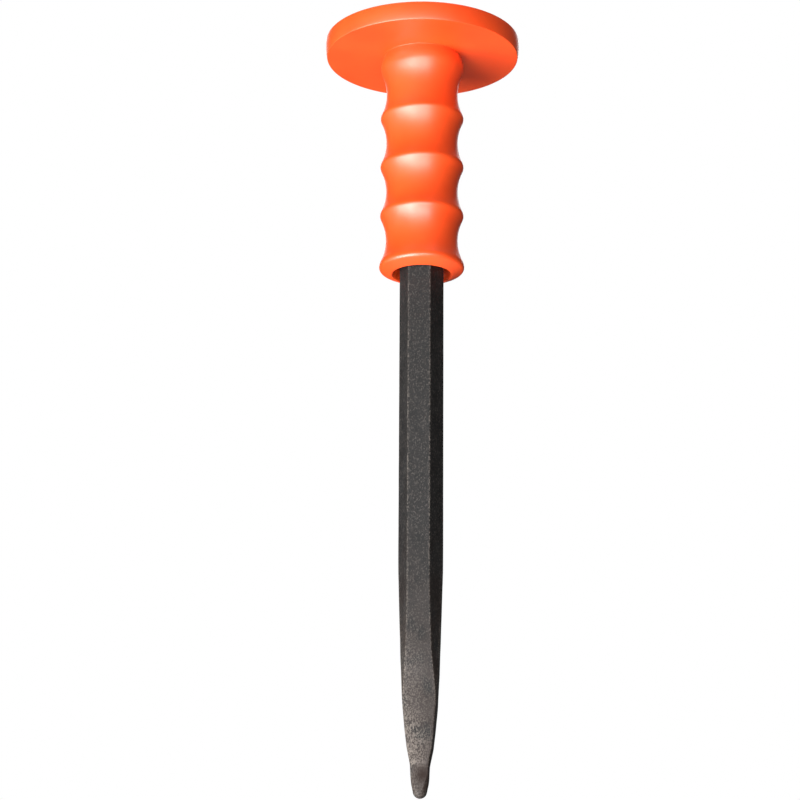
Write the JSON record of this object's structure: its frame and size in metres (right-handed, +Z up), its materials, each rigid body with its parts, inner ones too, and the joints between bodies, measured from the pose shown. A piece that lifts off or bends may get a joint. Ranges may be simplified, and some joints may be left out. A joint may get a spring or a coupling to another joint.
{
  "type": "cold chisel",
  "caption": "Long point chisel: forged hexagonal bar drawn down to a blunt point, with a chamfered struck head and a soft ribbed hand grip under a round guard.",
  "frame": {"origin": "the tip of the blunt point, on the bar's axis", "axes": "+Z up the bar's axis to the struck face; -Y is the normal of one flat of the hexagon and of one broad face of the point"},
  "size_m": [0.097, 0.097, 0.4],
  "materials": {
    "black_steel": "satin",
    "orange_grip": "satin"
  },
  "bodies": {
    "root": {"chisel_bar": "black_steel", "guard_grip": "orange_grip"}
  },
  "joints": []
}
